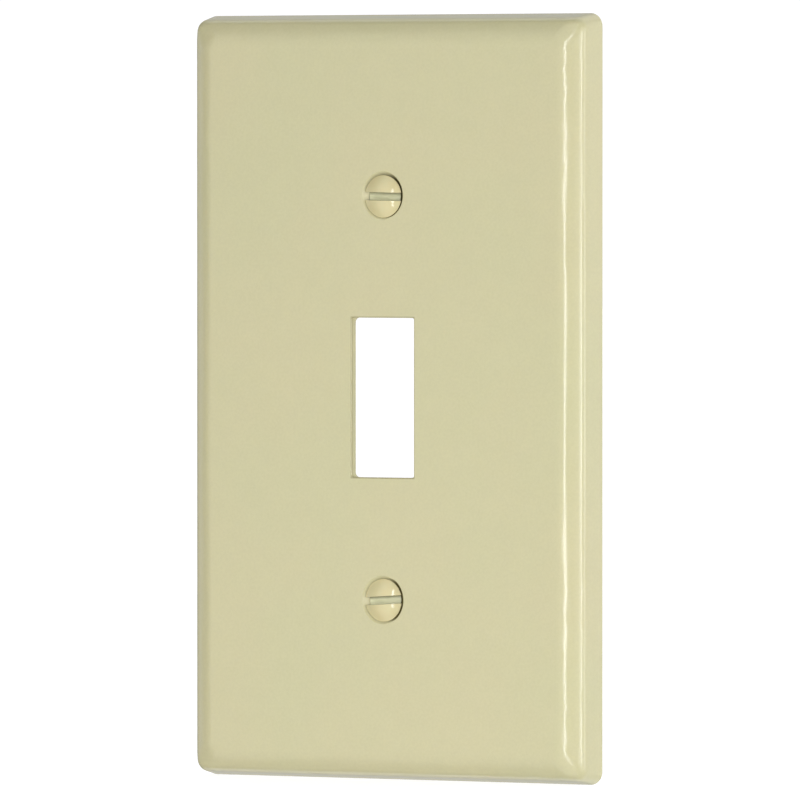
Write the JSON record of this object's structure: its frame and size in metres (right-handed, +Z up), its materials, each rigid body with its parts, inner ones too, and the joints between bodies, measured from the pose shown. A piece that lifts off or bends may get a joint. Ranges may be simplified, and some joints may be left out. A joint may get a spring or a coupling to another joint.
{
  "type": "toggle switch wall plate",
  "caption": "Ivory single-gang toggle switch wall plate, bevelled rim, hollow back, with captive slotted oval-head screws and fibre retaining washers.",
  "frame": {"origin": "centre of the plate's back plane, the plane that lies on the wall", "axes": "+Z up along the plate's height, +X to the right seen from the front, +Y into the wall, so the face looks along -Y"},
  "size_m": [0.0698, 0.0137, 0.1142],
  "materials": {
    "ivory_plastic": "semi-gloss moulded, faint orange peel",
    "painted_screw": "ivory baked enamel head over zinc-plated steel",
    "fibre": "matt pressed fibre"
  },
  "bodies": {
    "plate": {"wall_plate": "ivory_plastic"},
    "upper_washer": {"upper_retaining_washer": "fibre"},
    "upper_fastener": {"upper_screw": "painted_screw"},
    "lower_washer": {"lower_retaining_washer": "fibre"},
    "lower_fastener": {"lower_screw": "painted_screw"}
  },
  "joints": [
    {"name": "upper_screw_float", "type": "slide", "parent": "plate", "child": "upper_washer", "axis": [0, -1, 0], "range_m": [0, 0.0053]},
    {"name": "upper_screw_turn", "type": "hinge", "parent": "upper_washer", "child": "upper_fastener", "pos_m": [0, 0, 0.02999], "axis": [0, 1, 0], "continuous": true},
    {"name": "lower_screw_float", "type": "slide", "parent": "plate", "child": "lower_washer", "axis": [0, -1, 0], "range_m": [0, 0.0053]},
    {"name": "lower_screw_turn", "type": "hinge", "parent": "lower_washer", "child": "lower_fastener", "pos_m": [0, 0, -0.03021], "axis": [0, 1, 0], "continuous": true}
  ]
}
